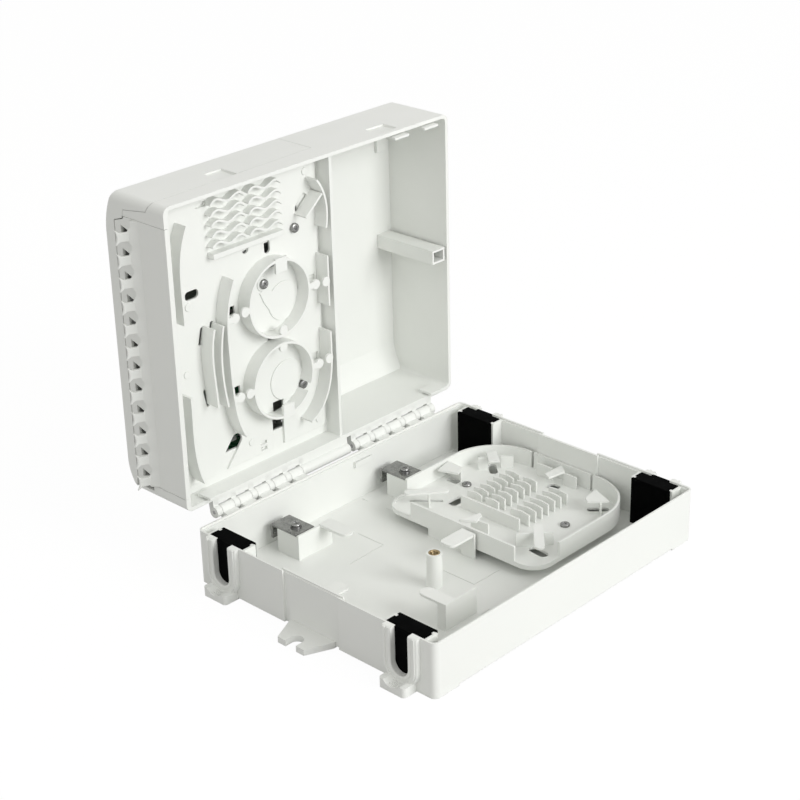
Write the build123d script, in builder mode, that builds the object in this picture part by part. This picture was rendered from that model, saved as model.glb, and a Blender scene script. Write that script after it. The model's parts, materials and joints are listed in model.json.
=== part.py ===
# Wall-mounted fibre distribution box, standing open, in millimetres with +Z up.
# The origin is the centre of the back face, midway between the two wall ears.
# X runs along the hinge, Y from the front long wall to the hinge wall.
from build123d import *
import math
import os

# Overall sizes
length = 300.0
width = 245.0
base_height = 45.0
lid_depth = 68.0
wall = 3.0
floor = 2.5
corner_radius = 5.0
foot_height = 1.5
foot_size = 25.0
fit_gap = 0.3

# Hinge
hinge_offset = 10.0
knuckle_radius = 4.6
pin_radius = 1.5
pin_clearance = 0.05
knuckle_pitch = 18.4
lid_knuckle_width = 5.2
knuckle_gap = 0.3
knuckle_count = 5
hinge_start_left = 26.0
hinge_end_right = 25.8
bar_gap = 5.0

# Cable entries and glands
entry_pitch = 185.0
entry_slot_width = 16.5
entry_slot_bottom = 9.5
surround_width = 33.0
surround_depth = 4.0
shelf_width = 25.0
shelf_length = 13.0
shelf_height = 7.5
gland_width = 36.0
gland_depth = 13.5
gland_groove_width = 3.0
gland_groove_depth = 2.0
gland_groove_place = 8.0
rail_wall = 2.0
rubber_gap = 0.2

# Wall ears
ear_reach = 21.0
ear_root_width = 46.0
ear_tip_width = 27.0
ear_thickness = 5.0
ear_slot_width = 11.0
ear_slot_reach = 11.5
recess_width = 57.0
recess_depth = 2.0

# Strength member clamps
clamp_x = 76.0
clamp_pitch = 124.0
clamp_rear_gap = 14.0
clamp_block_width = 20.0
clamp_block_length = 22.0
clamp_height = 24.0
clamp_plate_width = 19.0
clamp_plate_thickness = 2.0
clamp_leg = 13.0
clamp_wall_length = 36.0
tab_thickness = 2.0
tab_width = 13.0

# Screws and the standoff
screw_radius = 2.0
screw_head_radius = 4.0
screw_head_height = 2.4
screw_clearance = 0.2
washer_radius = 4.8
washer_thickness = 1.0
standoff_x = 108.0
standoff_y = 99.5
standoff_radius = 6.2
standoff_height = 33.0
insert_radius = 4.6
insert_depth = 14.0
insert_bore_radius = 2.5

# Splice tray
tray_length = 133.5
tray_width = 161.0
tray_front = 44.0
tray_side_gap = 2.5
tray_floor_height = 13.0
tray_floor = 2.0
tray_wall = 2.0
tray_height = 14.5
tray_big_radius = 45.0
tray_small_radius = 18.0
tray_screw_x = 72.0
tray_screw_ys = (30.0, 134.0)
tray_boss_radius = 5.0
fin_count = 7
fin_pitch = 7.9
fin_first = 53.0
fin_wall = 1.5
fin_height = 10.0
fin_rows = ((50.0, 69.0), (82.0, 96.0), (100.0, 115.0))

# Lid: frame, panel, comb and front cover
lid_corner_radius = 6.0
cover_length = 166.0
seam_start = 16.0
seam_end = 21.0
divider = 3.0
panel_depth = 15.0
panel_thickness = 2.0
panel_wall = 1.8
panel_guide_height = 12.8
panel_margin_left = 5.0
panel_margin_right = 3.0
panel_margin_low = 11.0
panel_margin_high = 7.0
ledge_thickness = 2.0
ledge_margin = 22.0
inner_wall = 1.8
ring_radius = 32.0
ring_x = 109.0
ring_ys = (72.8, 142.0)
comb_low = 11.0
comb_high = 229.0
comb_plate_depth = 38.0
comb_tip_depth = 57.0
comb_thickness = 2.8
comb_teeth = 12
comb_pitch = 17.8
comb_first = 14.5
comb_head_width = 13.0
comb_stem_width = 6.5
comb_inner_set = 9.0
sleeve_start = 50.5
sleeve_end = 121.5
sleeve_base = 191.5
sleeve_rows = 5
sleeve_waves = 2
sleeve_wave = 1.6
sleeve_height = 7.0
panel_screw_places = ((138.0, 189.0), (103.0, 153.0), (139.0, 56.0))
bracket_screw_places = ((94.0, 16.0), (94.0, 229.0))

# Snap tabs past the rim: place along the lid, whether at the free edge, and width
snap_thickness = 2.0
snap_gap = 1.0
snap_reach = 4.0
snap_tabs = (
    (length - 24.0, True, 16.0),
    (length - 58.0, True, 16.0),
    (27.0, False, 14.0),
    (length - 21.5, False, 17.0),
)
bay_inset = 12.5
pad_inset = 14.5

# Front cover hinge
cover_axis_depth = 60.0
cover_axis_height = 4.0
cover_knuckle_radius = 2.6
cover_pin_radius = 1.0
cover_knuckle_width = 12.0
cover_knuckle_starts = (14.0, 134.0)

# Adapter strip behind the front cover
adapter_count = 12
adapter_width = 9.3
adapter_height = 7.4
adapter_length = 26.0
adapter_flange = 12.6
adapter_flange_thickness = 2.0
adapter_strip_x = 88.0
adapter_strip_thickness = 1.5
adapter_strip_depth = 22.0
adapter_strip_flange = 12.0
adapter_depth_place = 33.0

os.makedirs("parts", exist_ok=True)

# Places worked out from the sizes
group_length = knuckle_count * knuckle_pitch + lid_knuckle_width
hinge_start_right = length - hinge_end_right - group_length
floor_top = foot_height + floor
rim_inside = length / 2 - wall
hinge_y = width / 2 + hinge_offset
lid_bottom = base_height + hinge_offset
lid_height = width
entry_ys = (width / 2 - entry_pitch / 2, width / 2 + entry_pitch / 2)
clamp_wall_y = width - wall - clamp_rear_gap - clamp_block_length
tray_x = length / 2 - wall - tray_side_gap - tray_length
ledge_depth = panel_depth + panel_thickness
ledge_high = lid_height - wall - 2.6
ledge_middle = (ledge_high + wall - 1) / 2


def base_plane(height):
    """Horizontal plane with its origin over the front left corner of the base."""
    return Plane(origin=(-length / 2, -width / 2, height))


def tray_plane(height):
    """Horizontal plane with its origin at the front left corner of the splice tray."""
    return Plane(origin=(tray_x, -width / 2 + tray_front, height))


def side_plane(side, along):
    """Plane on a short wall's outer face: local x along the wall, y up, and z outwards."""
    return Plane(
        origin=(side * length / 2, along - width / 2, 0),
        x_dir=(0, side, 0),
        z_dir=(side, 0, 0),
    )


def lid_plane(depth):
    """Plane across the open lid: local x from its left end, y from its hinge side, z to the rim."""
    return Plane(
        origin=(-length / 2, hinge_y + depth, lid_bottom), x_dir=(1, 0, 0), z_dir=(0, -1, 0)
    )


def lid_section(along):
    """Plane across the lid's length: local x is the depth behind the rim, y from the hinge side."""
    return Plane(
        origin=(-length / 2 + along, hinge_y, lid_bottom), x_dir=(0, 1, 0), z_dir=(1, 0, 0)
    )


def hinge_section(along):
    """Plane across the main hinge, with its origin on the hinge axis and z along it."""
    return Plane(origin=(-length / 2 + along, hinge_y, base_height), x_dir=(0, 1, 0), z_dir=(1, 0, 0))


def plate_between(start, end, thickness):
    """Thin wall in a sketch, from one point to the other."""
    run = math.dist(start, end)
    turn = math.degrees(math.atan2(end[1] - start[1], end[0] - start[0]))
    middle = ((start[0] + end[0]) / 2, (start[1] + end[1]) / 2)
    with Locations(Location((middle[0], middle[1], 0), (0, 0, turn))):
        Rectangle(run, thickness)


def tongue_between(start, end, breadth):
    """Round-ended tongue in a sketch, reaching from one point to the other."""
    run = math.dist(start, end)
    turn = math.degrees(math.atan2(end[1] - start[1], end[0] - start[0]))
    middle = ((start[0] + end[0]) / 2, (start[1] + end[1]) / 2)
    with Locations(Location((middle[0], middle[1], 0), (0, 0, turn))):
        SlotOverall(max(run, breadth + 0.01), breadth)


# Cable entry: a U-shaped surround with a ribbed shelf for a cable tie
def cable_entry(side, along):
    with BuildPart() as entry:
        slot_centre = entry_slot_bottom + entry_slot_width / 2
        with BuildSketch(side_plane(side, along)):
            with Locations((0, slot_centre)):
                Circle(surround_width / 2)
            with Locations((0, (slot_centre + base_height) / 2)):
                Rectangle(surround_width, base_height - slot_centre)
            with Locations((0, -surround_width)):
                Rectangle(surround_width, 2 * surround_width, mode=Mode.SUBTRACT)
        extrude(amount=surround_depth)
        outer_edges = entry.faces().filter_by(Axis.X).sort_by(Axis.X)[-1 if side > 0 else 0].edges()
        fillet(outer_edges, radius=1.5)
        with BuildSketch(side_plane(side, along).offset(-wall)):
            with Locations((0, shelf_height / 2)):
                Rectangle(shelf_width, shelf_height)
            with Locations((0, shelf_height + 7.0)):
                Circle(10.5, mode=Mode.SUBTRACT)
        extrude(amount=wall + shelf_length)
        tip = entry.faces().filter_by(Axis.X).sort_by(Axis.X)[-1 if side > 0 else 0]
        tip_corners = entry.edges().filter_by(Axis.Z).filter_by(
            lambda edge: abs(edge.center().X - tip.center().X) < 0.01
        )
        fillet(tip_corners, radius=3.0)
        for step in range(4):
            with BuildSketch(side_plane(side, along).offset(surround_depth + 0.8 + 2.2 * step)):
                with Locations((0, shelf_height + 7.0)):
                    Circle(11.2)
                    Circle(9.9, mode=Mode.SUBTRACT)
                with Locations((0, shelf_height + 7.0 + 10.5)):
                    Rectangle(30, 40.0, mode=Mode.SUBTRACT)
            extrude(amount=0.9)
    return entry.part


def entry_slot(side, along, grow, inner, outer):
    """U slot through a short wall, from inside the wall to outside the surround."""
    with BuildPart() as cut:
        slot_radius = entry_slot_width / 2 - grow
        slot_centre = entry_slot_bottom + entry_slot_width / 2
        with BuildSketch(side_plane(side, along).offset(-inner)):
            with Locations((0, slot_centre)):
                Circle(slot_radius)
            with Locations((0, slot_centre + base_height / 2)):
                Rectangle(2 * slot_radius, base_height)
        extrude(amount=inner + outer)
    return cut.part


# Rails that hold a gland against the inside of the wall, with a hook into its groove
def gland_rails(side, along):
    with BuildPart() as rails:
        rail_place = gland_width / 2 + rubber_gap
        with BuildSketch(Plane.XY.offset(floor_top - 0.5)):
            for hand in (-1, 1):
                with Locations((side * (rim_inside - 5.5), along - width / 2 + hand * (rail_place + 1))):
                    Rectangle(11.5, rail_wall)
                hook_x = side * (rim_inside - gland_groove_place - gland_groove_width / 2)
                hook_y = along - width / 2 + hand * (rail_place - gland_groove_depth / 2 + 0.5)
                with Locations((hook_x, hook_y)):
                    Rectangle(gland_groove_width - 2 * rubber_gap, gland_groove_depth)
        extrude(amount=base_height - 1.0 - floor_top + 0.5)
    return rails.part


# Clamp pillar with its low wall and the fibre tab that hangs over the floor
def clamp_pillar(along, guided):
    with BuildPart() as pillar:
        with BuildSketch(base_plane(floor_top - 0.5)):
            with Locations((along, clamp_wall_y + clamp_block_length / 2)):
                Rectangle(clamp_block_width, clamp_block_length)
        extrude(amount=clamp_height - floor_top + 0.5)
        if guided:
            wall_start = along - clamp_block_width / 2
            with BuildSketch(base_plane(floor_top - 0.5)):
                with Locations((wall_start + clamp_wall_length / 2, clamp_wall_y - 1.0)):
                    Rectangle(clamp_wall_length, 2.0)
            extrude(amount=clamp_height + 1.5 - floor_top + 0.5)
            tab_x = wall_start + clamp_wall_length - tab_width / 2 + 1.0
            with BuildSketch(base_plane(clamp_height)):
                with Locations((tab_x, clamp_wall_y - 11.5)):
                    Rectangle(tab_width, 23)
                with Locations((tab_x, clamp_wall_y - 23)):
                    Circle(tab_width / 2)
            extrude(amount=tab_thickness)
            with BuildSketch(base_plane(clamp_height - 5)):
                with Locations((tab_x, clamp_wall_y - 4)):
                    Rectangle(2.0, 5.0)
            extrude(amount=5.5)
        with Locations((along - length / 2, clamp_wall_y + clamp_block_length / 2 - width / 2, clamp_height)):
            Hole(radius=screw_radius, depth=clamp_height - floor_top - 2)
    return pillar.part


def base_knuckles(start):
    """Base half of one hinge group: wide knuckles on arms from the rear wall."""
    with BuildPart() as knuckles:
        arm_reach = hinge_offset + wall / 2
        wide = knuckle_pitch - lid_knuckle_width - 2 * knuckle_gap
        for step in range(knuckle_count):
            place = start + lid_knuckle_width + knuckle_gap + step * knuckle_pitch
            with BuildSketch(hinge_section(place)):
                Circle(knuckle_radius)
                with BuildLine():
                    Polyline(
                        (-arm_reach, -knuckle_gap),
                        (-0.5, -knuckle_gap),
                        (-0.5, -knuckle_radius + 0.3),
                        (-arm_reach, -2.6 * knuckle_radius),
                        close=True,
                    )
                make_face()
            extrude(amount=wide)
    return knuckles.part


# Base shell: one moulding with everything that stands on its floor
with BuildPart() as base_shell:
    with BuildSketch(Plane.XY):
        RectangleRounded(length, width, corner_radius)
    extrude(amount=base_height)
    with BuildSketch(Plane.XY.offset(floor_top)):
        RectangleRounded(length - 2 * wall, width - 2 * wall, corner_radius - wall)
    extrude(amount=base_height, mode=Mode.SUBTRACT)
    # feet: only the corners touch the wall
    with BuildSketch(Plane.XY):
        Rectangle(length + 2, width + 2)
        with GridLocations(length - foot_size, width - foot_size, 2, 2):
            Rectangle(foot_size, foot_size, mode=Mode.SUBTRACT)
    extrude(amount=foot_height, mode=Mode.SUBTRACT)
    # shallow step inside the rim
    with BuildSketch(Plane.XY.offset(base_height - 1.5)):
        RectangleRounded(length - wall, width - wall, corner_radius - wall / 2)
    extrude(amount=2, mode=Mode.SUBTRACT)
    for side in (-1, 1):
        # recess behind each ear, with the wall carried round it at full thickness
        with BuildSketch(Plane.XY.offset(foot_height)):
            with Locations((side * (rim_inside - recess_depth / 2), 0)):
                Rectangle(recess_depth, recess_width + 2 * wall)
        extrude(amount=base_height - foot_height)
        with BuildSketch(Plane.XY):
            with Locations((side * (length / 2 + 1 - recess_depth / 2), 0)):
                Rectangle(recess_depth + 2, recess_width)
        extrude(amount=base_height, mode=Mode.SUBTRACT)
        for along in entry_ys:
            add(cable_entry(side, along))
            add(gland_rails(side, along))
            add(entry_slot(side, along, 0, wall + 1, surround_depth + 1), mode=Mode.SUBTRACT)
        # wall ear with an open slot
        with BuildSketch(Plane.XY):
            with BuildLine():
                Polyline(
                    (side * (length / 2 - recess_depth - 1), -ear_root_width / 2),
                    (side * (length / 2), -ear_root_width / 2),
                    (side * (length / 2 + ear_reach), -ear_tip_width / 2),
                    (side * (length / 2 + ear_reach), ear_tip_width / 2),
                    (side * (length / 2), ear_root_width / 2),
                    (side * (length / 2 - recess_depth - 1), ear_root_width / 2),
                    close=True,
                )
            make_face()
            slot_end = length / 2 + ear_reach - ear_slot_reach + ear_slot_width / 2
            with Locations((side * slot_end, 0)):
                Circle(ear_slot_width / 2, mode=Mode.SUBTRACT)
            with Locations((side * (slot_end + ear_reach / 2), 0)):
                Rectangle(ear_reach, ear_slot_width, mode=Mode.SUBTRACT)
        extrude(amount=ear_thickness)
    for step in range(2):
        add(clamp_pillar(clamp_x + step * clamp_pitch, step == 0))
    # standoff post with its seat for the insert
    with BuildSketch(base_plane(floor_top - 0.5)):
        with Locations((standoff_x, standoff_y)):
            Circle(standoff_radius)
    extrude(amount=standoff_height - floor_top + 0.5)
    with Locations((standoff_x - length / 2, standoff_y - width / 2, standoff_height)):
        Hole(radius=insert_radius, depth=insert_depth)
    # bosses under the splice tray
    with BuildSketch(tray_plane(floor_top - 0.5)):
        for boss_y in tray_screw_ys:
            with Locations((tray_screw_x, boss_y)):
                Circle(tray_boss_radius)
    extrude(amount=tray_floor_height - tray_floor - floor_top + 0.5)
    for boss_y in tray_screw_ys:
        boss = (tray_x + tray_screw_x, -width / 2 + tray_front + boss_y, tray_floor_height - tray_floor)
        with Locations(boss):
            Hole(radius=screw_radius - 0.3, depth=6.0)
    # front guide: a wall with a short return and a tab over the cables
    with BuildSketch(base_plane(floor_top - 0.5)):
        plate_between((66, 51), (100, 51), 2.0)
        plate_between((67, 51), (67, 58), 2.0)
    extrude(amount=26 - floor_top + 0.5)
    with BuildSketch(base_plane(24)):
        with Locations((72, 62)):
            Rectangle(12, 22)
        with Locations((72, 73)):
            Circle(6)
    extrude(amount=tab_thickness)
    # guide beside the splice tray, and its twin by the left wall
    with BuildSketch(base_plane(floor_top - 0.5)):
        plate_between((158, 103), (158, 117), 2.0)
        plate_between((11, 120), (11, 134), 2.0)
    extrude(amount=26 - floor_top + 0.5)
    with BuildSketch(base_plane(24)):
        with Locations((145.5, 110)):
            RectangleRounded(27, 14, 4)
        with Locations((24.5, 127)):
            RectangleRounded(29, 14, 4)
    extrude(amount=tab_thickness)
    # latch slot on the inside of the rear wall
    with BuildSketch(base_plane(34)):
        with Locations((175.5, width - wall - 1)):
            Rectangle(19, 3)
    extrude(amount=5)
    with BuildSketch(base_plane(35.2)):
        with Locations((175.5, width - wall - 1.2)):
            Rectangle(16, 1.6)
    extrude(amount=5, mode=Mode.SUBTRACT)
    # fine joint lines left in the floor by the mould's inserts
    with BuildSketch(base_plane(floor_top - 0.4)):
        for line in (
            ((129, 78), (159, 78)),
            ((129, 78), (129, 110)),
            ((127, 172), (127, 200)),
            ((89, 171), (127, 172)),
            ((100, 46), (111, 46)),
            ((171, 232), (171, 239)),
            ((172, 194), (172, 212)),
        ):
            plate_between(line[0], line[1], 0.5)
    extrude(amount=1, mode=Mode.SUBTRACT)
    add(base_knuckles(hinge_start_left))
    add(base_knuckles(hinge_start_right))
    with BuildSketch(hinge_section(0)):
        Circle(pin_radius + pin_clearance)
    extrude(amount=length, mode=Mode.SUBTRACT)
base_shell.part.label = "base_shell"
export_step(base_shell.part, "parts/base_shell.step")


# Gland: rubber block between the rails, with a nose that fills the slot
def gland(side, along, name):
    with BuildPart() as block:
        block_x = side * (rim_inside - gland_depth / 2)
        block_y = along - width / 2
        block_height = base_height - fit_gap - floor_top
        with Locations((block_x, block_y, floor_top)):
            Box(gland_depth, gland_width, block_height, align=(Align.CENTER, Align.CENTER, Align.MIN))
        lower = block.edges().filter_by(Axis.Y).group_by(Axis.Z)[0]
        chamfer(lower.sort_by(Axis.X)[0 if side > 0 else -1], length=4.0)
        upright = block.edges().filter_by(Axis.Z)
        fillet(upright, radius=1.2)
        groove_x = side * (rim_inside - gland_groove_place - gland_groove_width / 2)
        for hand in (-1, 1):
            with Locations((groove_x, block_y + hand * gland_width / 2, floor_top)):
                Box(
                    gland_groove_width,
                    2 * gland_groove_depth,
                    3 * base_height,
                    mode=Mode.SUBTRACT,
                )
        with BuildSketch(Plane.XY.offset(base_height - fit_gap)):
            with Locations((groove_x, block_y)):
                Rectangle(1.2, gland_width)
        extrude(amount=-1.6, mode=Mode.SUBTRACT)
        add(entry_slot(side, along, rubber_gap, wall + 1, surround_depth - 0.5))
        with Locations((side * length / 2, block_y, base_height - fit_gap)):
            Box(40, 60, 60, align=(Align.CENTER, Align.CENTER, Align.MIN), mode=Mode.SUBTRACT)
    block.part.label = name
    export_step(block.part, "parts/" + name + ".step")


for side, hand in ((-1, "left"), (1, "right")):
    gland(side, entry_ys[0], "gland_front_" + hand)
    gland(side, entry_ys[1], "gland_rear_" + hand)


# Clamp plates: bent steel, with a short leg down behind the pillar
clamp_screw_y = clamp_wall_y + clamp_block_length / 2 - width / 2
plate_rear = clamp_wall_y + clamp_block_length + 8.0
for step, hand in ((0, "left"), (1, "right")):
    along = clamp_x + step * clamp_pitch
    with BuildPart() as clamp_plate:
        with BuildSketch(base_plane(clamp_height)):
            with Locations((along, (clamp_wall_y + plate_rear) / 2 + 0.2)):
                Rectangle(clamp_plate_width, plate_rear - clamp_wall_y - 0.4)
        extrude(amount=clamp_plate_thickness)
        with BuildSketch(base_plane(clamp_height + clamp_plate_thickness)):
            with Locations((along, plate_rear - clamp_plate_thickness / 2)):
                Rectangle(clamp_plate_width, clamp_plate_thickness)
        extrude(amount=-clamp_leg)
        bend = clamp_plate.edges().filter_by(Axis.X).group_by(Axis.Z)[-1].sort_by(Axis.Y)[-1]
        fillet(bend, radius=1.8)
        with Locations((along - length / 2, clamp_screw_y, clamp_height + clamp_plate_thickness)):
            Hole(radius=screw_radius + screw_clearance, depth=clamp_plate_thickness)
    clamp_plate.part.label = "clamp_plate_" + hand
    export_step(clamp_plate.part, "parts/clamp_plate_" + hand + ".step")

clamp_places = [
    (clamp_x + step * clamp_pitch - length / 2, clamp_screw_y, clamp_height + clamp_plate_thickness)
    for step in range(2)
]
with BuildPart() as clamp_washers:
    with Locations(clamp_places):
        Cylinder(washer_radius, washer_thickness, align=(Align.CENTER, Align.CENTER, Align.MIN))
        Cylinder(screw_radius + screw_clearance, 3 * washer_thickness, mode=Mode.SUBTRACT)
clamp_washers.part.label = "clamp_washers"
export_step(clamp_washers.part, "parts/clamp_washers.step")


def pan_screw(shank):
    """Pan-head screw with a cross recess, its head's underside at the origin."""
    with BuildPart() as screw:
        with BuildSketch(Plane.XZ):
            with BuildLine():
                Line((0, -shank), (screw_radius - 0.3, -shank))
                Line((screw_radius - 0.3, -shank), (screw_radius - 0.3, 0))
                Line((screw_radius - 0.3, 0), (screw_head_radius, 0))
                Line((screw_head_radius, 0), (screw_head_radius, 0.9))
                ThreePointArc((screw_head_radius, 0.9), (3.2, 1.8), (1.6, screw_head_height))
                Line((1.6, screw_head_height), (0, screw_head_height))
                Line((0, screw_head_height), (0, -shank))
            make_face()
        revolve(axis=Axis.Z)
        with BuildSketch(Plane.XY.offset(screw_head_height)):
            Rectangle(4.2, 0.9)
            Rectangle(0.9, 4.2)
        extrude(amount=-1.3, mode=Mode.SUBTRACT)
    return screw.part


with BuildPart() as clamp_screws:
    for place in clamp_places:
        with Locations((place[0], place[1], place[2] + washer_thickness)):
            add(pan_screw(12.0))
clamp_screws.part.label = "clamp_screws"
export_step(clamp_screws.part, "parts/clamp_screws.step")

# Threaded insert in the standoff, knurled in a band
with BuildPart() as brass_insert:
    insert_place = (standoff_x - length / 2, standoff_y - width / 2, standoff_height + 0.2)
    with Locations(insert_place):
        Cylinder(insert_radius - 0.02, insert_depth, align=(Align.CENTER, Align.CENTER, Align.MAX))
        Cylinder(insert_bore_radius, 3 * insert_depth, mode=Mode.SUBTRACT)
    rims = brass_insert.edges().filter_by(GeomType.CIRCLE).group_by(Axis.Z)[-1]
    chamfer(rims.sort_by(SortBy.RADIUS)[0], length=0.6)
brass_insert.part.label = "brass_insert"
export_step(brass_insert.part, "parts/brass_insert.step")


# Splice tray: a rounded dish with sleeve fins, fibre tabs and cable openings at its left corners
def tray_outline(inset):
    """Outline of the tray: large round corners on the right, small ones on the left."""
    left = inset
    right = tray_length - inset
    low = inset
    high = tray_width - inset
    big = tray_big_radius - inset
    small = tray_small_radius - inset
    with BuildLine() as outline:
        Line((left + small, low), (right - big, low))
        RadiusArc((right - big, low), (right, low + big), -big)
        Line((right, low + big), (right, high - big))
        RadiusArc((right, high - big), (right - big, high), -big)
        Line((right - big, high), (left + small, high))
        RadiusArc((left + small, high), (left, high - small), -small)
        Line((left, high - small), (left, low + small))
        RadiusArc((left, low + small), (left + small, low), -small)
    make_face(outline.edges())


tray_under = tray_floor_height - tray_floor
tab_height = 11.0
with BuildPart() as splice_tray:
    with BuildSketch(tray_plane(tray_under)):
        tray_outline(0)
    extrude(amount=tray_height + tray_floor)
    with BuildSketch(tray_plane(tray_floor_height)):
        tray_outline(tray_wall)
    extrude(amount=tray_height + 1, mode=Mode.SUBTRACT)
    # cable openings at the two left corners leave only a low flange
    with BuildSketch(tray_plane(tray_floor_height + 2.0)):
        with Locations((13, tray_width - 14)):
            Rectangle(28, 34)
        with Locations((13, 6)):
            Rectangle(30, 32)
    extrude(amount=tray_height, mode=Mode.SUBTRACT)
    # skirt down to the floor of the base
    with BuildSketch(tray_plane(floor_top)):
        plate_between((tray_wall / 2, 72), (tray_wall / 2, 111), tray_wall)
    extrude(amount=tray_floor_height - floor_top)
    # lead-in notches in the right wall
    with BuildSketch(tray_plane(tray_floor_height)):
        for notch_y in (50.5, 113.0):
            with Locations((tray_length - 2, notch_y)):
                Rectangle(8, 2.4)
    extrude(amount=tray_height + 1, mode=Mode.SUBTRACT)
    # fins that hold the splice sleeves, slightly bent in plan
    with BuildSketch(tray_plane(tray_floor_height - 0.3)):
        for row in fin_rows:
            middle = (row[0] + row[1]) / 2
            for step in range(fin_count):
                fin_x = fin_first + step * fin_pitch
                plate_between((fin_x - 0.9, row[0]), (fin_x + 0.9, middle + 0.3), fin_wall)
                plate_between((fin_x + 0.9, middle - 0.3), (fin_x - 0.9, row[1]), fin_wall)
    extrude(amount=fin_height + 0.3)
    # divider beside the fins
    with BuildSketch(tray_plane(tray_floor_height - 0.3)):
        plate_between((41, 51), (41, 112), 1.8)
        plate_between((18, 81), (19, 64), 1.6)
        plate_between((99.5, 145.5), (105.5, 140), 1.6)
        plate_between((114.5, 133.5), (121, 125), 1.6)
        plate_between((125, 61), (125, 74), 1.6)
        plate_between((125, 86), (125, 102), 1.6)
        plate_between((21, 38), (43, 18), 1.6)
        plate_between((22.5, 130), (28, 136), 1.6)
        plate_between((76.5, 158), (73.5, 141), 1.6)
        plate_between((101, 17), (108, 23), 1.6)
    extrude(amount=tab_height + 0.3)
    # tabs that keep the fibres down
    with BuildSketch(tray_plane(tray_floor_height + tab_height)):
        tongue_between((12, 148), (40, 124), 8)
        tongue_between((14, 8), (43, 34), 8)
        for corners in (
            ((59, 154), (76, 158), (75, 141), (65, 137)),
            ((109, 145), (117, 141), (105, 126), (98, 132)),
            ((7, 84), (26, 79), (25, 76), (14, 72)),
            ((108, 76), (111, 83), (132, 82), (125, 73)),
            ((100, 32), (117, 35), (108, 14), (96, 27)),
        ):
            with BuildLine():
                Polyline(*corners, close=True)
            make_face()
    extrude(amount=1.8)
    # windows under the tabs, left where the mould's cores stood
    with BuildSketch(tray_plane(tray_under - 1)):
        tongue_between((21, 151), (39, 130), 3.4)
        with Locations((46, 121.5)):
            RectangleRounded(16, 9, 3)
        with Locations((71, 148)):
            RectangleRounded(7, 12, 2)
        tongue_between((102, 130), (114, 143), 7)
        with Locations((116.5, 78)):
            RectangleRounded(9, 10, 2)
        tongue_between((104, 33), (116, 20), 6)
        tongue_between((25, 10), (27, 28), 8)
        for step in range(fin_count):
            with Locations((fin_first + step * fin_pitch + fin_pitch / 2, 98)):
                Rectangle(4, 3)
    extrude(amount=tray_floor + 1.5, mode=Mode.SUBTRACT)
    # screw holes
    for boss_y in tray_screw_ys:
        with Locations((tray_x + tray_screw_x, -width / 2 + tray_front + boss_y, tray_floor_height)):
            Hole(radius=screw_radius + screw_clearance, depth=tray_floor)
splice_tray.part.label = "splice_tray"
export_step(splice_tray.part, "parts/splice_tray.step")

with BuildPart() as tray_screws:
    for boss_y in tray_screw_ys:
        with Locations((tray_x + tray_screw_x, -width / 2 + tray_front + boss_y, tray_floor_height)):
            add(pan_screw(6.5))
tray_screws.part.label = "tray_screws"
export_step(tray_screws.part, "parts/tray_screws.step")

# Hinge pins, one for each knuckle group
for start, hand in ((hinge_start_left, "left"), (hinge_start_right, "right")):
    with BuildPart() as hinge_pin:
        with BuildSketch(hinge_section(start)):
            Circle(pin_radius)
        extrude(amount=group_length)
    hinge_pin.part.label = "hinge_pin_" + hand
    export_step(hinge_pin.part, "parts/hinge_pin_" + hand + ".step")


# Outline of the lid across its length: flat front with long curves to the hinge side and the top
def lid_profile(inset, start):
    low = inset
    high = lid_height - inset
    front = lid_depth - inset
    with BuildLine() as outline:
        ThreePointArc((56, low - 1), (front - 4, low + 9), (front, low + 23))
        Line((front, low + 23), (front, high - 31))
        ThreePointArc((front, high - 31), (front - 2.4, high - 16.5), (57.5, high + 1))
        Polyline((57.5, high + 1), (start, high + 1), (start, low - 1), (56, low - 1))
    make_face(outline.edges())


def lid_form(inset):
    """Solid of the lid's outer form, or of its cavity when inset by the wall."""
    with BuildPart() as form:
        with BuildSketch(lid_plane(fit_gap if inset == 0 else -1)):
            with Locations((length / 2, lid_height / 2)):
                RectangleRounded(
                    length - 2 * inset, lid_height - 2 * inset, lid_corner_radius - 0.8 * inset
                )
        extrude(amount=-lid_depth - 2)
        with BuildSketch(lid_section(-1)):
            lid_profile(inset, -2)
        extrude(amount=length + 2, mode=Mode.INTERSECT)
    return form.part


def cover_region(grow):
    """Space of the front cover: its side and top seams step back from the rim."""
    with BuildPart() as region:
        with BuildSketch(lid_section(-1)):
            with BuildLine():
                Polyline(
                    (80, -5),
                    (60 - grow * 10, -5),
                    (60 - grow * 10, 4),
                    (58 - grow, 12),
                    (58 - grow, 224),
                    (48.5 - grow, 227 - grow),
                    (46.3 - grow, 234 - grow),
                    (20.4 - grow, 238 - grow),
                    (16 - grow, 245),
                    (16 - grow, 252),
                    (80, 252),
                    close=True,
                )
            make_face()
        extrude(amount=cover_length + 1 - (fit_gap - grow))
        # the seam on the top wall runs back slightly towards the bay
        with BuildSketch(Plane(lid_plane(0).origin, x_dir=(1, 0, 0), z_dir=(0, 0, 1)).offset(-10)):
            with BuildLine():
                Polyline(
                    (-5, seam_start - grow),
                    (0, seam_start - grow),
                    (cover_length + 5, seam_end - grow),
                    (cover_length + 5, 90),
                    (-5, 90),
                    close=True,
                )
            make_face()
        extrude(amount=lid_height + 20, mode=Mode.INTERSECT)
    return region.part


def cover_knuckle_cuts(radius, margin):
    """Cylinders about the cover's hinge axis at the frame's knuckles."""
    with BuildPart() as cuts:
        for start in cover_knuckle_starts:
            with BuildSketch(lid_section(start - margin)):
                with Locations((cover_axis_depth, cover_axis_height)):
                    Circle(radius)
            extrude(amount=cover_knuckle_width + 2 * margin)
    return cuts.part


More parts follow.
